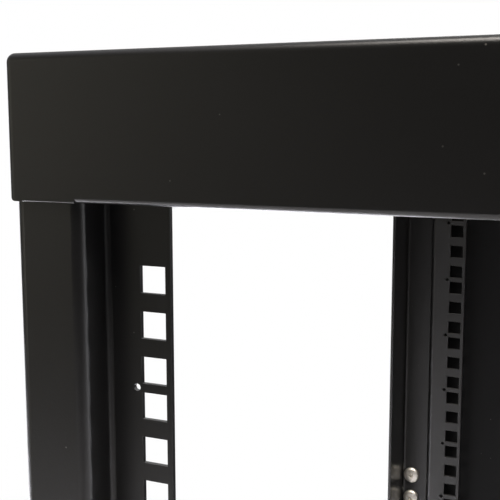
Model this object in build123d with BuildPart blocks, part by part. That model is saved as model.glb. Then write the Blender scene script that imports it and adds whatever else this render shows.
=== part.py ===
# Four post open frame rack, twelve units high, folded from sheet steel.
# Millimetres. +Z is up, the front faces -Y, the origin is under the middle of the rack on the floor.
import os

from build123d import *

os.makedirs("parts", exist_ok=True)

# Rack standard: hole raster and clear opening
unit_height = 44.45
unit_count = 12
hole_heights_in_unit = (6.35, 22.225, 38.1)
hole_line_spacing = 465.1
clear_opening = 451.4
square_hole = 9.5
marker_hole_diameter = 2.8
marker_hole_sides = 8
marker_offset = 6.7
mounting_depth = 500.0

# Whole frame
foot_height = 26.6
end_height = 70.0

# Posts: one folded sheet each, a recessed flange, a step, a front face and a side wall
post_sheet = 2.0
bend_radius = 3.0
step_offset = 17.8
post_reach = 44.0
step_depth = 16.5
side_wall = 42.0
post_end_gap = 1.5

# Cross beams: caps that wrap the ends of two posts
beam_sheet = 1.5
beam_height = 49.2
beam_depth = 44.0
beam_edge_radius = 3.0
lip_depth = 15.0
lip_rise = 3.0
lip_edge_radius = 2.0
lip_end_offset = 17.5
lip_corner = 1.7

# Side rails: channels inside the side walls
rail_sheet = 2.0
rail_height = 38.0
rail_width = 16.0
rail_inset = 8.0
rail_end_gap = 3.0

# Levelling feet
stud_diameter = 10.0
stud_hole = 11.0
stud_stand_up = 6.0
stud_head_flats = 14.0
stud_head_height = 4.0
thread_gap = 0.1
pad_diameter = 42.0
pad_rim = 7.0
pad_neck_flats = 19.0
pad_height = 13.0
nut_flats = 17.0
nut_height = 8.0
foot_offset = 14.0
foot_setback = 12.5

# Back panel: a sheet folded round the rear posts, between the rear beams
panel_sheet = 1.5
panel_return = 16.0

# Places worked out from the values above
half_post = post_sheet / 2
hole_line = -hole_line_spacing / 2
flange_edge = hole_line + (hole_line_spacing - clear_opening) / 2
post_outside = hole_line - post_reach
post_inside = post_outside + post_sheet
frame_bottom = foot_height
space_bottom = frame_bottom + end_height
space_top = space_bottom + unit_count * unit_height
frame_top = space_top + end_height
middle_height = (frame_bottom + frame_top) / 2
front_flange = -mounting_depth / 2
post_front = front_flange - step_depth
post_bottom = frame_bottom + beam_sheet + post_end_gap
beam_front = post_front - beam_sheet
beam_end = post_outside - beam_sheet
foot_x = hole_line - foot_offset
foot_y = front_flange + foot_setback

# Mirror planes: left to right, front to rear and top to bottom
left_right = Plane.YZ
front_rear = Plane.XZ
top_bottom = Plane(origin=(0, 0, middle_height), z_dir=(0, 0, 1))


def save(piece, name):
    piece.part.label = name
    export_step(piece.part, f"parts/{name}.step")


def mirrored(piece, *planes):
    for plane in planes:
        with BuildPart() as copy:
            mirror(piece.part, about=plane)
        piece = copy
    return piece


def corner_set(front_left, name):
    save(front_left, f"front_left_{name}")
    save(mirrored(front_left, left_right), f"front_right_{name}")
    save(mirrored(front_left, front_rear), f"rear_left_{name}")
    save(mirrored(front_left, left_right, front_rear), f"rear_right_{name}")


def hole_places():
    return [
        (0, space_bottom + unit * unit_height + height)
        for unit in range(unit_count)
        for height in hole_heights_in_unit
    ]


def marker_places():
    return [(-marker_offset, space_bottom + unit * unit_height) for unit in range(1, unit_count)]


# Post: the folded section runs the whole height, the flange carries the hole raster
flange_plane = Plane(origin=(hole_line, front_flange, 0), x_dir=(1, 0, 0), z_dir=(0, -1, 0))
step_middle = hole_line - step_offset - half_post
with BuildPart() as post:
    with BuildSketch(Plane.XY.offset(post_bottom)):
        with BuildLine():
            FilletPolyline(
                (flange_edge, front_flange + half_post),
                (step_middle, front_flange + half_post),
                (step_middle, post_front + half_post),
                (post_outside + half_post, post_front + half_post),
                (post_outside + half_post, post_front + side_wall),
                radius=bend_radius,
            )
        trace(line_width=post_sheet)
    extrude(amount=2 * (middle_height - post_bottom))
    with BuildSketch(flange_plane):
        with Locations(*hole_places()):
            Rectangle(square_hole, square_hole)
        with Locations(*marker_places()):
            RegularPolygon(marker_hole_diameter / 2, marker_hole_sides)
    extrude(amount=2 * post_sheet, both=True, mode=Mode.SUBTRACT)
corner_set(post, "post")


# Beam: a cap open towards the rack, rounded at its bends, with a lip folded in between the posts
beam_bottom = frame_top - beam_height
lip_length = 2 * (-hole_line + lip_end_offset)
lip_middle = beam_bottom + beam_sheet / 2
lower_corners = [(beam_end, beam_bottom), (-beam_end, beam_bottom)]
corner_centres = [
    (beam_end + beam_edge_radius, beam_bottom + beam_edge_radius),
    (-beam_end - beam_edge_radius, beam_bottom + beam_edge_radius),
]
with BuildPart() as hollow:
    with BuildSketch(Plane.XY.offset(beam_bottom)):
        with Locations((0, post_front)):
            Rectangle(-2 * post_outside, beam_depth, align=(Align.CENTER, Align.MIN))
    extrude(amount=beam_height - beam_sheet)
    inner_front = hollow.faces().sort_by(Axis.Y)[0]
    inner_bends = inner_front.edges().filter_by(Axis.Z) + inner_front.edges().sort_by(Axis.Z)[-1:]
    fillet(inner_bends, radius=beam_edge_radius - beam_sheet)

with BuildPart() as top_beam:
    with BuildSketch(Plane.XY.offset(beam_bottom)):
        with Locations((0, beam_front)):
            Rectangle(-2 * beam_end, beam_depth, align=(Align.CENTER, Align.MIN))
    extrude(amount=beam_height)
    front_face = top_beam.faces().sort_by(Axis.Y)[0]
    top_face = top_beam.faces().sort_by(Axis.Z)[-1]
    front_sides = front_face.edges().filter_by(Axis.Z)
    top_rim = top_face.edges().filter_by(Axis.Y) + top_face.edges().sort_by(Axis.Y)[:1]
    fillet(front_sides + top_rim, radius=beam_edge_radius)
    add(hollow.part, mode=Mode.SUBTRACT)
    with BuildSketch(Plane.XZ.offset(-beam_front)):
        with Locations(*lower_corners):
            Rectangle(2 * beam_edge_radius, 2 * beam_edge_radius)
        with Locations(*corner_centres):
            Circle(beam_edge_radius, mode=Mode.SUBTRACT)
    extrude(amount=-beam_depth, mode=Mode.SUBTRACT)
    with BuildSketch(Plane.XZ.offset(-beam_front)):
        with Locations((0, beam_bottom)):
            Rectangle(lip_length + 2 * lip_corner, 2 * lip_rise)
    extrude(amount=-2 * beam_sheet, mode=Mode.SUBTRACT)
    for length, depth in ((lip_length + 2 * lip_corner, beam_sheet), (lip_length, lip_depth)):
        with BuildSketch(Plane.YZ.offset(-length / 2)):
            with BuildLine():
                FilletPolyline(
                    (beam_front + beam_sheet / 2, beam_bottom + lip_rise),
                    (beam_front + beam_sheet / 2, lip_middle),
                    (beam_front + lip_depth, lip_middle),
                    radius=lip_edge_radius - beam_sheet / 2,
                )
            trace(line_width=beam_sheet)
            with Locations((beam_front, beam_bottom)):
                Rectangle(depth, lip_rise, align=(Align.MIN, Align.MIN), mode=Mode.INTERSECT)
        extrude(amount=length)
save(top_beam, "front_top_beam")
save(mirrored(top_beam, front_rear), "rear_top_beam")

foot_holes = [(foot_x, foot_y), (-foot_x, foot_y)]
upside_down = mirrored(top_beam, top_bottom)
with BuildPart() as bottom_beam:
    add(upside_down.part)
    with BuildSketch(Plane.XY.offset(frame_bottom)):
        with Locations(*foot_holes):
            Circle(stud_hole / 2)
    extrude(amount=beam_sheet, mode=Mode.SUBTRACT)
save(bottom_beam, "front_bottom_beam")
save(mirrored(bottom_beam, front_rear), "rear_bottom_beam")


# Side rail: a channel from post to post, its web against the side walls
rail_bottom = frame_bottom + rail_inset
rail_start = post_front + post_sheet + rail_end_gap
half_rail = rail_sheet / 2
with BuildPart() as bottom_rail:
    with BuildSketch(Plane.XZ.offset(-rail_start)):
        with BuildLine():
            FilletPolyline(
                (post_inside + rail_width, rail_bottom + half_rail),
                (post_inside + half_rail, rail_bottom + half_rail),
                (post_inside + half_rail, rail_bottom + rail_height - half_rail),
                (post_inside + rail_width, rail_bottom + rail_height - half_rail),
                radius=bend_radius,
            )
        trace(line_width=rail_sheet)
    extrude(amount=2 * rail_start)
save(bottom_rail, "left_bottom_rail")
save(mirrored(bottom_rail, left_right), "right_bottom_rail")
save(mirrored(bottom_rail, top_bottom), "left_top_rail")
save(mirrored(bottom_rail, top_bottom, left_right), "right_top_rail")


# Foot: a lock nut under the beam, a stud through it, and a pad that holds the head of the stud
head_bottom = pad_height - stud_head_height
stud_top = frame_bottom + beam_sheet + stud_stand_up

with BuildPart() as lock_nut:
    with BuildSketch(Plane.XY.offset(frame_bottom - nut_height)):
        with Locations((foot_x, foot_y)):
            RegularPolygon(nut_flats / 2, 6, major_radius=False)
            Circle((stud_diameter + thread_gap) / 2, mode=Mode.SUBTRACT)
    extrude(amount=nut_height)
corner_set(lock_nut, "lock_nut")

with BuildPart() as stud:
    with BuildSketch(Plane.XY.offset(head_bottom)):
        with Locations((foot_x, foot_y)):
            RegularPolygon(stud_head_flats / 2, 6, major_radius=False)
    extrude(amount=stud_head_height)
    with BuildSketch(Plane.XY.offset(pad_height)):
        with Locations((foot_x, foot_y)):
            Circle(stud_diameter / 2)
    extrude(amount=stud_top - pad_height)
corner_set(stud, "foot_stud")

with BuildPart() as pad:
    with BuildSketch():
        with Locations((foot_x, foot_y)):
            Circle(pad_diameter / 2)
    extrude(amount=pad_rim)
    with BuildSketch(Plane.XY.offset(pad_rim)):
        with Locations((foot_x, foot_y)):
            RegularPolygon(pad_neck_flats / 2, 6, major_radius=False)
    extrude(amount=pad_height - pad_rim)
    with BuildSketch(Plane.XY.offset(head_bottom)):
        with Locations((foot_x, foot_y)):
            RegularPolygon(stud_head_flats / 2, 6, major_radius=False)
    extrude(amount=stud_head_height, mode=Mode.SUBTRACT)
corner_set(pad, "foot_pad")


# Back panel: one sheet flush with the rear beams, its sides folded forward along the rear posts
panel_side = beam_end + panel_sheet / 2
panel_middle = -post_front + panel_sheet / 2
panel_bottom = frame_bottom + beam_height
with BuildPart() as back_panel:
    with BuildSketch(Plane.XY.offset(panel_bottom)):
        with BuildLine():
            FilletPolyline(
                (panel_side, panel_middle - panel_return),
                (panel_side, panel_middle),
                (-panel_side, panel_middle),
                (-panel_side, panel_middle - panel_return),
                radius=beam_edge_radius - panel_sheet / 2,
            )
        trace(line_width=panel_sheet)
    extrude(amount=2 * (middle_height - panel_bottom))
save(back_panel, "back_panel")
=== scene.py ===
import math

import bmesh
import bpy
from mathutils import Matrix, Vector


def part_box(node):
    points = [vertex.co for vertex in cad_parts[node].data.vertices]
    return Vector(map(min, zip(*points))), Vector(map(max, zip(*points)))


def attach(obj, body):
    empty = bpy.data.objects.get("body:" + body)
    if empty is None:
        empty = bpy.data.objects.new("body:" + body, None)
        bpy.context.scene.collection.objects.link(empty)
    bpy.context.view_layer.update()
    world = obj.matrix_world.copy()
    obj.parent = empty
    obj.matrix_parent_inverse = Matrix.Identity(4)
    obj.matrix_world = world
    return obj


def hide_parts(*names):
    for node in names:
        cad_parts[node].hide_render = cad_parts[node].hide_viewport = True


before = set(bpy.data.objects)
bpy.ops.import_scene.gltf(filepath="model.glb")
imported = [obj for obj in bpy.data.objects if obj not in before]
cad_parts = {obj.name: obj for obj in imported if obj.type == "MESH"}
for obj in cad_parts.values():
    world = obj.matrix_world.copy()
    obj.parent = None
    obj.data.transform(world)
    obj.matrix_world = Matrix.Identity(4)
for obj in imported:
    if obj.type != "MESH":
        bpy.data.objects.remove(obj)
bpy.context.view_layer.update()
scene = bpy.context.scene
scene.view_settings.view_transform = "Standard"
mm = 0.001
weld = 0.001 * mm  # points closer than this are one
print("rack frame loaded,", len(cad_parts), "solids")


# Node trees: an input takes another node's output or a plain value
def feed(tree, node, inputs):
    for key, value in inputs.items():
        if isinstance(value, bpy.types.NodeSocket):
            tree.links.new(value, node.inputs[key])
        else:
            node.inputs[key].default_value = value


def addNode(tree, kind, inputs=None, **settings):
    node = tree.nodes.new(kind)
    for name, value in settings.items():
        setattr(node, name, value)
    feed(tree, node, inputs or {})
    return node


def mathNode(tree, operation, first, second, clamp=False):
    node = addNode(tree, "ShaderNodeMath", {0: first, 1: second}, operation=operation, use_clamp=clamp)
    return node.outputs[0]


def mixNode(tree, share, first, second):
    node = addNode(tree, "ShaderNodeMix", {"Factor": share, "A": first, "B": second}, data_type="RGBA")
    return node.outputs["Result"]


def smoothStep(tree, value, start, full):
    inputs = {"Value": value, "From Min": start, "From Max": full}
    return addNode(tree, "ShaderNodeMapRange", inputs, interpolation_type="SMOOTHSTEP").outputs[0]


def objectPlace(tree):
    return addNode(tree, "ShaderNodeTexCoord").outputs["Object"]


def noiseAt(tree, place, scale, detail):
    inputs = {"Vector": place, "Scale": scale, "Detail": detail}
    return addNode(tree, "ShaderNodeTexNoise", inputs).outputs["Fac"]


# Shared effects are node groups, and their sockets named Colour carry colours
noiseMiddle = 0.5


def openGroup(name, inputs, outputs):
    group = bpy.data.node_groups.new(name, "ShaderNodeTree")
    for way, socketNames in (("INPUT", inputs), ("OUTPUT", outputs)):
        for socketName in socketNames:
            kind = "NodeSocketColor" if "Colour" in socketName else "NodeSocketFloat"
            group.interface.new_socket(socketName, in_out=way, socket_type=kind)
    given = group.nodes.new("NodeGroupInput").outputs
    return group, given, group.nodes.new("NodeGroupOutput")


# Powder grain: fine grain over a slow orange peel, with broad soft changes of sheen
grainLook = {"grainDetail": 2, "peelDetail": 1, "broadScale": 14, "broadDetail": 3}
grainTone = {"From Min": 0.25, "From Max": 0.75, "To Min": 0.8, "To Max": 1.2}


def makePowderGrain():
    group, given, result = openGroup(
        "powderGrain",
        ("Colour", "Grain Scale", "Peel Scale", "Peel Share", "Sheen", "Sheen Change"),
        ("Colour", "Roughness", "Height"),
    )
    place = objectPlace(group)
    grain = noiseAt(group, place, given["Grain Scale"], grainLook["grainDetail"])
    peel = noiseAt(group, place, given["Peel Scale"], grainLook["peelDetail"])
    broad = noiseAt(group, place, grainLook["broadScale"], grainLook["broadDetail"])
    peelPart = mathNode(group, "MULTIPLY", peel, given["Peel Share"])
    broadShift = mathNode(group, "SUBTRACT", broad, noiseMiddle)
    sheenShift = mathNode(group, "MULTIPLY", broadShift, given["Sheen Change"])
    tone = addNode(group, "ShaderNodeMapRange", {"Value": grain, **grainTone}).outputs[0]
    shaded = addNode(group, "ShaderNodeVectorMath", {0: given["Colour"], "Scale": tone}, operation="SCALE")
    feed(
        group,
        result,
        {
            "Colour": shaded.outputs[0],
            "Roughness": mathNode(group, "ADD", given["Sheen"], sheenShift, True),
            "Height": mathNode(group, "ADD", grain, peelPart),
        },
    )
    return group


# Settled dust: sparse pale specks in random cells
def makeDust():
    group, given, result = openGroup(
        "settledDust", ("Colour", "Dust Colour", "Cell Scale", "Speck Size", "Share"), ("Colour",)
    )
    place = objectPlace(group)
    cells = addNode(group, "ShaderNodeTexVoronoi", {"Vector": place, "Scale": given["Cell Scale"]}).outputs
    cellShade = addNode(group, "ShaderNodeSeparateColor", {"Color": cells["Color"]}).outputs
    speck = mathNode(group, "LESS_THAN", cells["Distance"], given["Speck Size"])
    chosen = mathNode(group, "LESS_THAN", cellShade["Red"], given["Share"])
    dusty = mathNode(group, "MULTIPLY", speck, chosen)
    strength = mathNode(group, "MULTIPLY", dusty, cellShade["Green"])
    feed(group, result, {"Colour": mixNode(group, strength, given["Colour"], given["Dust Colour"])})
    return group


# Settled film: upward faces lose their sheen
def makeFilm():
    group, given, result = openGroup(
        "settledFilm", ("Roughness", "Start", "Full", "Dulling"), ("Roughness",)
    )
    normal = addNode(group, "ShaderNodeTexCoord").outputs["Normal"]
    upward = addNode(group, "ShaderNodeSeparateXYZ", {0: normal}).outputs["Z"]
    limits = {"From Min": given["Start"], "From Max": given["Full"], "To Max": given["Dulling"]}
    dulling = addNode(group, "ShaderNodeMapRange", {"Value": upward, **limits}).outputs[0]
    feed(group, result, {"Roughness": mathNode(group, "ADD", given["Roughness"], dulling, True)})
    return group


# Plated haze: cloudy changes of colour and sheen over a fine grain
hazeLook = {"cloudDetail": 4, "fineScale": 2600, "fineDetail": 2}


def makePlatedHaze():
    group, given, result = openGroup(
        "platedHaze",
        ("Colour", "Cloud Colour", "Cloud Scale", "Sheen", "Sheen Change"),
        ("Colour", "Roughness", "Height"),
    )
    place = objectPlace(group)
    cloud = noiseAt(group, place, given["Cloud Scale"], hazeLook["cloudDetail"])
    cloudShift = mathNode(group, "SUBTRACT", cloud, noiseMiddle)
    sheenShift = mathNode(group, "MULTIPLY", cloudShift, given["Sheen Change"])
    feed(
        group,
        result,
        {
            "Colour": mixNode(group, cloud, given["Colour"], given["Cloud Colour"]),
            "Roughness": mathNode(group, "ADD", given["Sheen"], sheenShift),
            "Height": noiseAt(group, place, hazeLook["fineScale"], hazeLook["fineDetail"]),
        },
    )
    return group


powderGrain = makePowderGrain()
settledDust = makeDust()
settledFilm = makeFilm()
platedHaze = makePlatedHaze()


def openMaterial(name):
    material = bpy.data.materials.new(name)
    material.use_nodes = True
    tree = material.node_tree
    return material, tree, tree.nodes["Principled BSDF"]


def placeGroup(tree, group, values, **links):
    return addNode(tree, "ShaderNodeGroup", {**values, **links}, node_tree=group).outputs


def bumped(tree, height, distance):
    return addNode(tree, "ShaderNodeBump", {"Height": height, "Distance": distance}).outputs["Normal"]


def makeCoat(name, values):
    material, tree, shader = openMaterial(name)
    grain = placeGroup(tree, powderGrain, values["grain"])
    dust = placeGroup(tree, settledDust, values["dust"], Colour=grain["Colour"])
    film = placeGroup(tree, settledFilm, values["film"], Roughness=grain["Roughness"])
    feed(
        tree,
        shader,
        {
            "Base Color": dust["Colour"],
            "Roughness": film["Roughness"],
            "Specular IOR Level": values["specular"],
            "Normal": bumped(tree, grain["Height"], values["depth"]),
        },
    )
    return material


def makePlated(name, values):
    material, tree, shader = openMaterial(name)
    haze = placeGroup(tree, platedHaze, values["haze"])
    feed(
        tree,
        shader,
        {
            "Base Color": haze["Colour"],
            "Roughness": haze["Roughness"],
            "Metallic": 1,
            "Normal": bumped(tree, haze["Height"], values["depth"]),
        },
    )
    return material


# On posts the film also covers the slanting walls of the round holes
levelFilm = {"Start": 0.86, "Full": 0.92, "Dulling": 0.5}
postFilm = {"Start": 0.20, "Full": 0.40, "Dulling": 0.5}
satinBlack = {
    "grain": {
        "Colour": (0.0060, 0.0059, 0.0060, 1),
        "Grain Scale": 1500,
        "Peel Scale": 330,
        "Peel Share": 0.7,
        "Sheen": 0.30,
        "Sheen Change": 0.10,
    },
    "dust": {"Dust Colour": (0.20, 0.19, 0.18, 1), "Cell Scale": 170, "Speck Size": 0.05, "Share": 0.4},
    "film": levelFilm,
    "specular": 0.5,
    "depth": 0.03 * mm,
}
postBlack = dict(satinBlack, film=postFilm)
panelBlack = {
    "grain": {
        "Colour": (0.0035, 0.0035, 0.0037, 1),
        "Grain Scale": 900,
        "Peel Scale": 210,
        "Peel Share": 1.0,
        "Sheen": 0.34,
        "Sheen Change": 0.06,
    },
    "dust": {"Dust Colour": (0.12, 0.115, 0.11, 1), "Cell Scale": 150, "Speck Size": 0.05, "Share": 0.3},
    "film": levelFilm,
    "specular": 0.10,
    "depth": 0.012 * mm,
}
mouldedBlack = {
    "grain": {
        "Colour": (0.022, 0.022, 0.023, 1),
        "Grain Scale": 1100,
        "Peel Scale": 260,
        "Peel Share": 0.3,
        "Sheen": 0.55,
        "Sheen Change": 0.12,
    },
    "dust": {"Dust Colour": (0.25, 0.24, 0.22, 1), "Cell Scale": 170, "Speck Size": 0.06, "Share": 0.4},
    "film": levelFilm,
    "specular": 0.5,
    "depth": 0.05 * mm,
}
zincPlate = {
    "haze": {
        "Colour": (0.66, 0.67, 0.68, 1),
        "Cloud Colour": (0.50, 0.51, 0.50, 1),
        "Cloud Scale": 260,
        "Sheen": 0.32,
        "Sheen Change": 0.25,
    },
    "depth": 0.006 * mm,
}
nickelPlate = {
    "haze": {
        "Colour": (0.95, 0.91, 0.84, 1),
        "Cloud Colour": (0.86, 0.82, 0.74, 1),
        "Cloud Scale": 320,
        "Sheen": 0.46,
        "Sheen Change": 0.15,
    },
    "depth": 0.004 * mm,
}
satinCoat = makeCoat("satinBlackCoat", satinBlack)
postCoat = makeCoat("satinBlackPostCoat", postBlack)
panelCoat = makeCoat("smoothBlackCoat", panelBlack)
mouldedPlastic = makeCoat("mouldedBlackPlastic", mouldedBlack)
zinc = makePlated("zincPlatedSteel", zincPlate)
nickel = makePlated("nickelPlatedScrew", nickelPlate)
print("finishes made")


# Forms become meshes, and finished pieces keep edges hard past these angles
hardEdges = {"sheet": 60, "pad": 40, "screw": 30, "bush": 30, "stud": 25, "nut": 25}
flatFaceWeight = 100


def toMesh(form, name="blank"):
    mesh = bpy.data.meshes.new(name)
    form.to_mesh(mesh)
    form.free()
    return mesh


def shadeSmooth(piece, hardAngle):
    piece.data.shade_smooth()
    piece.data.set_sharp_from_angle(angle=math.radians(hardAngle))
    evenOut = piece.modifiers.new("evenNormals", "WEIGHTED_NORMAL")
    evenOut.weight = flatFaceWeight
    evenOut.keep_sharp = True


def addPiece(kind, name, form, material, replaced=None):
    mesh = toMesh(form, name)
    if "custom_normal" in mesh.attributes:  # a solid's own normals no longer fit
        mesh.attributes.remove(mesh.attributes["custom_normal"])
    mesh.materials.clear()
    mesh.materials.append(material)
    piece = bpy.data.objects.new(name, mesh)
    scene.collection.objects.link(piece)
    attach(piece, "root")
    if replaced:
        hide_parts(replaced)
    shadeSmooth(piece, hardEdges[kind])


def wholeOf(form):
    return list(form.verts) + list(form.edges) + list(form.faces)


def turnForm(form, degrees):
    turn = Matrix.Rotation(math.radians(degrees), 3, "Z")
    bmesh.ops.rotate(form, verts=form.verts, cent=(0, 0, 0), matrix=turn)


# Folded sheets: each solid's own form, with its cut edges eased under the coat, angles in degrees
sheetFinish = {"flat": 0.5, "split": 6 * mm, "cut": 50, "shortest": 4 * mm, "steps": 2}
easing = {"post": 0.12 * mm, "beam": 0.5 * mm, "rail": 0.3 * mm, "panel": 0.3 * mm}


def splitNearEnds(form, node):
    low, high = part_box(node)
    for axis in (Vector((1, 0, 0)), Vector((0, 0, 1))):
        inward = axis * sheetFinish["split"]
        for place in (low + inward, high - inward):
            bmesh.ops.bisect_plane(form, geom=wholeOf(form), plane_co=place, plane_no=axis, dist=weld)


def isCutEdge(edge):
    if not edge.is_manifold or edge.calc_length() <= sheetFinish["shortest"]:
        return False
    return edge.calc_face_angle() > math.radians(sheetFinish["cut"])


def dressSheet(node, material):
    form = bmesh.new()
    form.from_mesh(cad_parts[node].data)
    flat = math.radians(sheetFinish["flat"])
    bmesh.ops.remove_doubles(form, verts=form.verts, dist=weld)
    bmesh.ops.dissolve_limit(form, angle_limit=flat, verts=form.verts, edges=form.edges)
    if node.endswith("_beam"):  # its bent end face is too hollow to stay in one piece
        splitNearEnds(form, node)
    bmesh.ops.bevel(
        form,
        geom=[edge for edge in form.edges if isCutEdge(edge)],
        offset=easing[node.split("_")[-1]],
        offset_type="OFFSET",
        affect="EDGES",
        segments=sheetFinish["steps"],
        profile=0.5,
        clamp_overlap=False,
        material=-1,
    )
    addPiece("sheet", node + "_sheet", form, material, node)


ends = ("front", "rear")
sides = ("left", "right")
levels = ("top", "bottom")
outward = {"left": -1, "right": 1}
corners = [end + "_" + side for end in ends for side in sides]
posts = [corner + "_post" for corner in corners]
beams = [end + "_" + level + "_beam" for end in ends for level in levels]
rails = [side + "_" + level + "_rail" for side in sides for level in levels]
for node in posts:
    dressSheet(node, postCoat)
for node in beams + rails:
    dressSheet(node, satinCoat)
dressSheet("back_panel", panelCoat)
print("sheets dressed:", len(posts + beams + rails) + 1)


# Turned and hexagonal forms for the feet and fasteners, in millimetres round the upright axis
hexShape = {"turn": 30, "edgeSteps": 3}
toolSpare = 1  # how far a cutting form stands past what it cuts


def addLine(form, profile):
    points = [form.verts.new((radius * mm, 0, height * mm)) for radius, height in profile]
    return points + [form.edges.new(pair) for pair in zip(points, points[1:])]


def spinForm(profile, steps=36):
    form = bmesh.new()
    bmesh.ops.spin(
        form,
        geom=addLine(form, profile),
        cent=(0, 0, 0),
        axis=(0, 0, 1),
        angle=2 * math.pi,
        steps=steps,
        use_merge=True,
    )
    bmesh.ops.remove_doubles(form, verts=form.verts, dist=weld)
    bmesh.ops.recalc_face_normals(form, faces=form.faces)
    return form


def hexForm(flats, low, high, edge=0.0):
    form = bmesh.new()
    radius = flats / math.sqrt(3) * mm
    bmesh.ops.create_cone(
        form, cap_ends=True, segments=6, radius1=radius, radius2=radius, depth=(high - low) * mm
    )
    turnForm(form, hexShape["turn"])
    bmesh.ops.translate(form, verts=form.verts, vec=(0, 0, (low + high) / 2 * mm))
    if edge:
        bmesh.ops.bevel(
            form,
            geom=list(form.edges),
            offset=edge * mm,
            affect="EDGES",
            segments=hexShape["edgeSteps"],
            profile=0.5,
            material=-1,
        )
    return form


def carved(base, cuts):
    blanks = []
    for form in [base] + [tool for tool, operation in cuts]:
        blanks.append(bpy.data.objects.new("blank", toMesh(form)))
        scene.collection.objects.link(blanks[-1])
    for blank, (tool, operation) in zip(blanks[1:], cuts):
        cut = blanks[0].modifiers.new("cut", "BOOLEAN")
        cut.operation = operation
        cut.object = blank
        cut.solver = "EXACT"
    shaped = blanks[0].evaluated_get(bpy.context.evaluated_depsgraph_get())
    form = bmesh.new()
    form.from_mesh(shaped.to_mesh())
    for blank in blanks:
        bpy.data.meshes.remove(blank.data)  # takes its object with it
    return form


def joined(forms):
    whole = bmesh.new()
    for form in forms:
        mesh = toMesh(form)
        whole.from_mesh(mesh)
        bpy.data.meshes.remove(mesh)
    return whole


def copiesAt(form, places):
    mesh = toMesh(form)
    whole = bmesh.new()
    for place in places:
        mesh.transform(place)
        whole.from_mesh(mesh)
        mesh.transform(place.inverted())
    bpy.data.meshes.remove(mesh)
    return whole


# Levelling pad: each underside point is an inset and a height, each groove point an inset and a depth
padShape = {
    "radius": 21,
    "rim": 7,
    "underside": ((8, 0.6), (7.2, 0), (1.2, 0), (0.3, 0.3), (0, 1.2)),
    "shoulder": 1.8,
    "shoulderDrop": 0.5,
    "shoulderSteps": 6,
    "groove": ((4.4, 0.4), (4.9, 0.9), (5.7, 0.9), (6.2, 0.3)),
    "flatRadius": 11.6,
    "turnSteps": 48,
    "neckFlats": 19,
    "neckSunk": 0.5,
    "neckEdge": 0.6,
    "top": 13,
    "headFlats": 14.2,
    "headBottom": 9,
}


def padForm():
    rim = padShape["rim"]
    wide = padShape["radius"]
    shoulder = padShape["shoulder"]
    steps = padShape["shoulderSteps"]
    profile = [(0, padShape["underside"][0][1])]
    profile += [(wide - inset, height) for inset, height in padShape["underside"]]
    for step in range(steps + 1):
        angle = math.radians(90 * step / steps)
        inset = shoulder * (1 - math.cos(angle))
        drop = padShape["shoulderDrop"] + shoulder * (1 - math.sin(angle))
        profile.append((wide - inset, rim - drop))
    profile += [(wide - inset, rim - depth) for inset, depth in padShape["groove"]]
    profile += [(padShape["flatRadius"], rim), (0, rim)]
    neck = hexForm(padShape["neckFlats"], rim - padShape["neckSunk"], padShape["top"], padShape["neckEdge"])
    pocket = hexForm(padShape["headFlats"], padShape["headBottom"], padShape["top"] + toolSpare)
    return joined([spinForm(profile, padShape["turnSteps"]), carved(neck, [(pocket, "DIFFERENCE")])])


# Stud: a helical thread, trimmed level and chamfered at its tip, on a hexagonal head
studShape = {
    "radius": 5,
    "root": 4.08,
    "pitch": 1.5,
    "rootShare": 0.12,
    "crestShare": 0.44,
    "turnSteps": 24,
    "turnsBelow": 2,
    "spareTurns": 3,
    "weld": 0.002,
    "level": 0.01,
    "top": 34.1,
    "tipChamfer": 1.5,
    "tipInset": 0.3,
    "head": (9, 13),
    "headFlats": 14,
    "headEdge": 0.4,
    "sunk": 1,
}


def trimThread(thread, height, up):
    bmesh.ops.bisect_plane(
        thread, geom=wholeOf(thread), plane_co=(0, 0, height * mm), plane_no=(0, 0, up), clear_outer=True
    )
    rim = [
        edge
        for edge in thread.edges
        if edge.is_boundary and abs(edge.verts[0].co.z - height * mm) < studShape["level"] * mm
    ]
    bmesh.ops.edgeloop_fill(thread, edges=rim)


def threadForm(low, high):
    crest = studShape["radius"]
    root = studShape["root"]
    pitch = studShape["pitch"]
    steps = studShape["turnSteps"]
    flat = studShape["rootShare"]
    rise = studShape["crestShare"]
    start = low - studShape["turnsBelow"] * pitch
    turns = math.ceil((high - low) / pitch) + studShape["spareTurns"]
    shares = [(root, 0), (root, flat), (crest, rise), (crest, 1 - rise), (root, 1 - flat), (root, 1)]
    thread = bmesh.new()
    bmesh.ops.spin(
        thread,
        geom=addLine(thread, [(radius, start + share * pitch) for radius, share in shares]),
        cent=(0, 0, 0),
        axis=(0, 0, 1),
        dvec=(0, 0, pitch / steps * mm),
        angle=2 * math.pi * turns,
        steps=steps * turns,
    )
    bmesh.ops.remove_doubles(thread, verts=thread.verts, dist=studShape["weld"] * mm)
    trimThread(thread, low, -1)
    trimThread(thread, high, 1)
    bmesh.ops.recalc_face_normals(thread, faces=thread.faces)
    return thread


def studForm():
    headLow, headHigh = studShape["head"]
    top = studShape["top"]
    low = headHigh - studShape["sunk"]
    outside = studShape["radius"] + toolSpare
    tip = spinForm(
        [
            (0, low - toolSpare),
            (outside, low - toolSpare),
            (outside, top - studShape["tipChamfer"]),
            (studShape["root"] - studShape["tipInset"], top),
            (0, top),
        ]
    )
    head = hexForm(studShape["headFlats"], headLow, headHigh, studShape["headEdge"])
    return joined([carved(threadForm(low, top), [(tip, "INTERSECT")]), head])


# Nuts: a hexagon with its corners turned off and a bore with lead-in cones
nutShape = {"flats": 17, "low": 18.6, "high": 26.6, "faceRadius": 8.0, "chamfer": 1.3, "bore": 5.05}
beamNutShape = {"flats": 10, "low": 0, "high": 5, "faceRadius": 4.7, "chamfer": 0.9, "bore": 3.05}
nutTurning = {"cornerSpare": 0.2, "leadIn": 0.6, "steps": 48}


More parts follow.
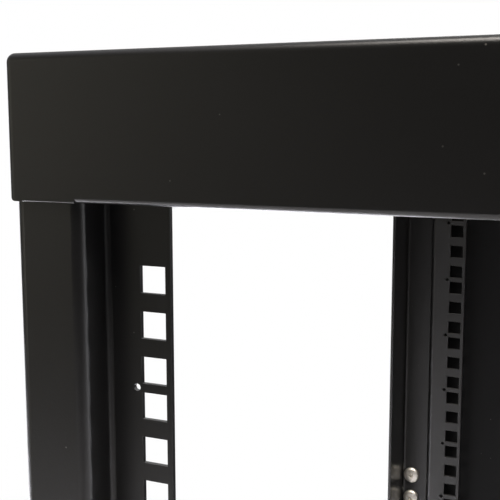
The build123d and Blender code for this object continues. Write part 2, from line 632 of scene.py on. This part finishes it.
def nutForm(shape):
    low = shape["low"]
    high = shape["high"]
    bore = shape["bore"]
    face = shape["faceRadius"]
    chamfer = shape["chamfer"]
    leadIn = nutTurning["leadIn"]
    corner = shape["flats"] / math.sqrt(3) + nutTurning["cornerSpare"]
    turned = spinForm(
        [(0, low), (face, low), (corner, low + chamfer), (corner, high - chamfer), (face, high), (0, high)],
        nutTurning["steps"],
    )
    mouth = bore + leadIn + toolSpare
    drill = spinForm(
        [
            (0, low - toolSpare),
            (mouth, low - toolSpare),
            (bore, low + leadIn),
            (bore, high - leadIn),
            (mouth, high + toolSpare),
            (0, high + toolSpare),
        ]
    )
    return carved(hexForm(shape["flats"], low, high), [(turned, "INTERSECT"), (drill, "DIFFERENCE")])


def nodeMiddle(node):
    low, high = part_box(node)
    return Vector(((low.x + high.x) / 2, (low.y + high.y) / 2, 0))


for corner in corners:
    spot = [Matrix.Translation(nodeMiddle(corner + "_foot_stud"))]
    pad = copiesAt(padForm(), spot)
    stud = copiesAt(studForm(), spot)
    nut = copiesAt(nutForm(nutShape), spot)
    addPiece("pad", corner + "_pad_moulding", pad, mouldedPlastic, corner + "_foot_pad")
    addPiece("stud", corner + "_threaded_stud", stud, zinc, corner + "_foot_stud")
    addPiece("nut", corner + "_chamfered_nut", nut, zinc, corner + "_lock_nut")
print("feet made:", len(corners))


# Pan head screws with a cross recess
screwShape = {
    "radius": 6.35,
    "height": 3.4,
    "underEdge": 0.3,
    "edge": 1.0,
    "domeSteps": 7,
    "sideFullness": 0.6,
    "domeFullness": 0.8,
    "turnSteps": 40,
    "span": 6.4,
    "slot": 1.5,
    "depth": 2.2,
    "taper": 0.55,
}


def slotForm(turn):
    taper = screwShape["taper"]
    size = (screwShape["span"] * mm, screwShape["slot"] * mm, 2 * screwShape["depth"] * mm)
    slot = bmesh.new()
    bmesh.ops.create_cube(slot, size=1)
    bmesh.ops.scale(slot, verts=slot.verts, vec=size)
    lower = [vert for vert in slot.verts if vert.co.z < 0]
    bmesh.ops.scale(slot, verts=lower, vec=(taper**2, taper, 1))
    bmesh.ops.translate(slot, verts=slot.verts, vec=(0, 0, screwShape["height"] * mm))
    turnForm(slot, turn)
    return slot


def screwForm():
    wide = screwShape["radius"]
    edge = screwShape["edge"]
    under = screwShape["underEdge"]
    dome = screwShape["height"] - edge
    profile = [(0, 0), (wide - under, 0), (wide, under)]
    for step in range(screwShape["domeSteps"] + 1):
        angle = math.radians(90 * step / screwShape["domeSteps"])
        radius = wide * math.cos(angle) ** screwShape["sideFullness"]
        profile.append((radius, edge + dome * math.sin(angle) ** screwShape["domeFullness"]))
    cross = [(slotForm(turn), "DIFFERENCE") for turn in (0, 90)]
    return carved(spinForm(profile, screwShape["turnSteps"]), cross)


# Bush behind each panel screw, with the end of the screw inside it
bushShape = {
    "radius": 5.2,
    "proud": 0.7,
    "sunk": 1,
    "edge": 0.3,
    "bore": 3.0,
    "boreEdge": 0.4,
    "endRadius": 2.9,
    "endDrop": 0.3,
    "endChamfer": 0.6,
}


def bushForm():
    wide = bushShape["radius"]
    proud = bushShape["proud"]
    bore = bushShape["bore"]
    low = -bushShape["sunk"]
    ring = [
        (bore, low),
        (wide, low),
        (wide, proud - bushShape["edge"]),
        (wide - bushShape["edge"], proud),
        (bore + bushShape["boreEdge"], proud),
        (bore, proud - bushShape["boreEdge"]),
        (bore, low),
    ]
    thick = bushShape["endRadius"]
    chamfer = bushShape["endChamfer"]
    high = proud - bushShape["endDrop"]
    end = [(0, low), (thick, low), (thick, high - chamfer), (thick - chamfer, high), (0, high)]
    return joined([spinForm(ring), spinForm(end)])


# Nut inside each beam corner, with the end of the screw through it
screwEnd = {"radius": 3.0, "proud": 1.6, "chamfer": 0.7, "turnSteps": 24}


def beamNutForm():
    thick = screwEnd["radius"]
    chamfer = screwEnd["chamfer"]
    high = beamNutShape["high"] + screwEnd["proud"]
    end = [(0, 0), (thick, 0), (thick, high - chamfer), (thick - chamfer, high), (0, high)]
    return joined([nutForm(beamNutShape), spinForm(end, screwEnd["turnSteps"])])


def standAt(place, toward, turn=0.0):
    aim = Vector(toward).to_track_quat("Z", "Y").to_matrix().to_4x4()
    return Matrix.Translation(Vector(place)) @ aim @ Matrix.Rotation(math.radians(turn), 4, "Z")


sheets = {"beam": 1.5 * mm, "post": 2 * mm, "rail": 2 * mm}
panelScrews = {"across": 267.2 * mm, "heights": (371.2 * mm, 351.6 * mm), "turns": (12, 51)}
beamScrews = {"behindFace": (13 * mm, 29 * mm), "turns": (20, 65)}
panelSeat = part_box("rear_left_post")[1].y - sheets["post"]
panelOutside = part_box("back_panel")[1].y
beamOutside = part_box("front_top_beam")[1].x
webInside = beamOutside - sum(sheets.values())

for side in sides:
    across = outward[side] * panelScrews["across"]
    heads = [
        standAt((across, panelSeat, height), (0, -1, 0), turn)
        for height, turn in zip(panelScrews["heights"], panelScrews["turns"])
    ]
    backs = [standAt((across, panelOutside, height), (0, 1, 0)) for height in panelScrews["heights"]]
    screws = copiesAt(screwForm(), heads)
    bushes = copiesAt(bushForm(), backs)
    addPiece("screw", "rear_" + side + "_panel_screws", screws, nickel)
    addPiece("bush", "rear_" + side + "_panel_bushes", bushes, zinc)

for corner in corners:
    end, side = corner.split("_")
    sign = outward[side]
    low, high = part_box(corner + "_post")
    heads = []
    backs = []
    for level in levels:
        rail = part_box(side + "_" + level + "_rail")
        height = (rail[0].z + rail[1].z) / 2
        for behind, turn in zip(beamScrews["behindFace"], beamScrews["turns"]):
            depth = low.y + behind if end == "front" else high.y - behind
            heads.append(standAt((sign * beamOutside, depth, height), (sign, 0, 0), turn))
            backs.append(standAt((sign * webInside, depth, height), (-sign, 0, 0), turn))
    screws = copiesAt(screwForm(), heads)
    nuts = copiesAt(beamNutForm(), backs)
    addPiece("screw", corner + "_beam_screws", screws, zinc)
    addPiece("nut", corner + "_beam_nuts", nuts, zinc)
print("screws set")


# Floor: pale near the rack, plain white to the camera further off
plainWhite = (1, 1, 1, 1)
floorLook = {
    "length": 4.9,
    "width": 3.8,
    "middle": (0.33, 0.90, 0.0),
    "turn": 38.7,
    "colour": (0.87, 0.87, 0.92, 1),
    "roughness": 0.6,
    "nearRadius": 0.6,
    "farRadius": 1.05,
}


def makeFloorFinish():
    material, tree, shader = openMaterial("paleFloor")
    feed(tree, shader, {"Base Color": floorLook["colour"], "Roughness": floorLook["roughness"]})
    distance = addNode(tree, "ShaderNodeVectorMath", {0: objectPlace(tree)}, operation="LENGTH")
    farAway = smoothStep(
        tree, distance.outputs["Value"], floorLook["nearRadius"], floorLook["farRadius"]
    )
    path = addNode(tree, "ShaderNodeLightPath").outputs
    whiteShare = mathNode(tree, "MULTIPLY", farAway, path["Is Camera Ray"])
    white = addNode(tree, "ShaderNodeEmission", {"Color": plainWhite, "Strength": 1}).outputs[0]
    mixed = addNode(tree, "ShaderNodeMixShader", {0: whiteShare, 1: shader.outputs[0], 2: white}).outputs[0]
    feed(tree, tree.nodes["Material Output"], {"Surface": mixed})
    return material


floorForm = bmesh.new()
bmesh.ops.create_grid(floorForm, x_segments=1, y_segments=1, size=0.5)  # one metre square
bmesh.ops.scale(floorForm, verts=floorForm.verts, vec=(floorLook["length"], floorLook["width"], 1))
turnForm(floorForm, floorLook["turn"])
bmesh.ops.translate(floorForm, verts=floorForm.verts, vec=floorLook["middle"])
floorMesh = toMesh(floorForm, "floor")
floorMesh.materials.append(makeFloorFinish())
floor = bpy.data.objects.new("floor", floorMesh)
scene.collection.objects.link(floor)

# Room light: a dark room with soft glows, each with its direction, tightness and colour
roomLight = {
    "base": (0.006, 0.0058, 0.005),
    "glows": [
        ((-0.80, -0.60, 0.12), 12.0, (1.08, 1.03, 0.86)),  # warm, front left
        ((0.94, 0.27, -0.2), 60.0, (1.15, 1.17, 1.25)),  # cool and narrow, low at the right
        ((-0.62, 0.25, 0.74), 6.0, (0.62, 0.63, 0.68)),  # broad, high at the left
    ],
    "backdropStart": 0.2,
    "backdropFull": 0.8,
}


def glowNode(tree, direction, toward, tightness, colour):
    aim = {0: direction, 1: Vector(toward).normalized()}
    facing = addNode(tree, "ShaderNodeVectorMath", aim, operation="DOT_PRODUCT").outputs["Value"]
    glow = mathNode(tree, "POWER", mathNode(tree, "MAXIMUM", facing, 0), tightness)
    return addNode(tree, "ShaderNodeVectorMath", {0: colour, "Scale": glow}, operation="SCALE").outputs[0]


# The camera sees plain white all round, and gloss mirrors it from behind the rack
def lightRoom():
    world = bpy.data.worlds.new("room")
    scene.world = world
    world.use_nodes = True
    tree = world.node_tree
    direction = addNode(tree, "ShaderNodeTexCoord").outputs["Generated"]
    total = roomLight["base"]
    for glow in roomLight["glows"]:
        parts = {0: total, 1: glowNode(tree, direction, *glow)}
        total = addNode(tree, "ShaderNodeVectorMath", parts, operation="ADD").outputs[0]
    behind = addNode(tree, "ShaderNodeSeparateXYZ", {0: direction}).outputs["Y"]
    backdrop = smoothStep(tree, behind, roomLight["backdropStart"], roomLight["backdropFull"])
    path = addNode(tree, "ShaderNodeLightPath").outputs
    seenInGloss = mathNode(tree, "MAXIMUM", path["Is Glossy Ray"], path["Is Transmission Ray"])
    glossShare = mathNode(tree, "MULTIPLY", seenInGloss, backdrop)
    whiteShare = mathNode(tree, "MAXIMUM", path["Is Camera Ray"], glossShare)
    shown = mixNode(tree, whiteShare, total, plainWhite)
    feed(tree, tree.nodes["Background"], {"Color": shown, "Strength": 1})


lightRoom()

# Lamps: the left one lights mostly the floor beside the rack
lamps = [
    {
        "name": "overheadSoftbox",
        "place": (0.25, -0.80, 2.9),
        "aim": (0.0, -0.1, 0.5),
        "size": (1.8, 1.6),
        "spread": 180,
        "power": 125,
        "colour": (1.0, 0.94, 0.87),
    },
    {
        "name": "rearSoftbox",
        "place": (0.2, 2.7, 1.5),
        "aim": (0.0, 0.0, 0.4),
        "size": (3.0, 1.8),
        "spread": 180,
        "power": 290,
        "colour": (0.97, 0.98, 1.0),
    },
    {
        "name": "leftFloorLamp",
        "place": (-0.95, 0.12, 1.2),
        "aim": (-0.95, 0.12, 0.0),
        "size": (0.2, 0.2),
        "spread": 64,
        "power": 38,
        "colour": (0.98, 0.98, 1.0),
    },
    {
        "name": "rightSoftbox",
        "place": (2.1, 0.3, 1.0),
        "aim": (-0.2, -0.1, 0.45),
        "size": (2.2, 1.8),
        "spread": 180,
        "power": 10,
        "colour": (1.0, 0.99, 0.98),
    },
]
for lamp in lamps:
    lightData = bpy.data.lights.new(lamp["name"], "AREA")
    lightData.shape = "RECTANGLE"
    lightData.size, lightData.size_y = lamp["size"]
    lightData.spread = math.radians(lamp["spread"])
    lightData.energy = lamp["power"]
    lightData.color = lamp["colour"]
    light = bpy.data.objects.new(lamp["name"], lightData)
    light.location = lamp["place"]
    toward = Vector(lamp["aim"]) - Vector(lamp["place"])
    light.rotation_euler = toward.to_track_quat("-Z", "Y").to_euler()
    light.visible_camera = False
    scene.collection.objects.link(light)
print("floor and light set")

# Camera: close to the front left upper corner, turned left and a little down
cameraView = {
    "lens": 73.21,
    "sensor": 36,
    "shift": 0.17,
    "nearest": 0.01,
    "yaw": 27.59,
    "pitch": 8.51,
    "roll": 0.78,
    "fromPost": (204.59 * mm, -281.42 * mm, 655.0 * mm),
}
cameraData = bpy.data.cameras.new("photoCamera")
cameraData.lens = cameraView["lens"]
cameraData.sensor_width = cameraView["sensor"]
cameraData.shift_x = cameraView["shift"]
cameraData.clip_start = cameraView["nearest"]
camera = bpy.data.objects.new("photoCamera", cameraData)
scene.collection.objects.link(camera)
scene.camera = camera
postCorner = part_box("front_left_post")[0]
turn = Matrix.Rotation(math.radians(cameraView["yaw"]), 4, "Z")
tilt = Matrix.Rotation(math.radians(90 - cameraView["pitch"]), 4, "X")
lean = Matrix.Rotation(math.radians(-cameraView["roll"]), 4, "Z")
camera.matrix_world = Matrix.Translation(postCorner + Vector(cameraView["fromPost"])) @ turn @ tilt @ lean
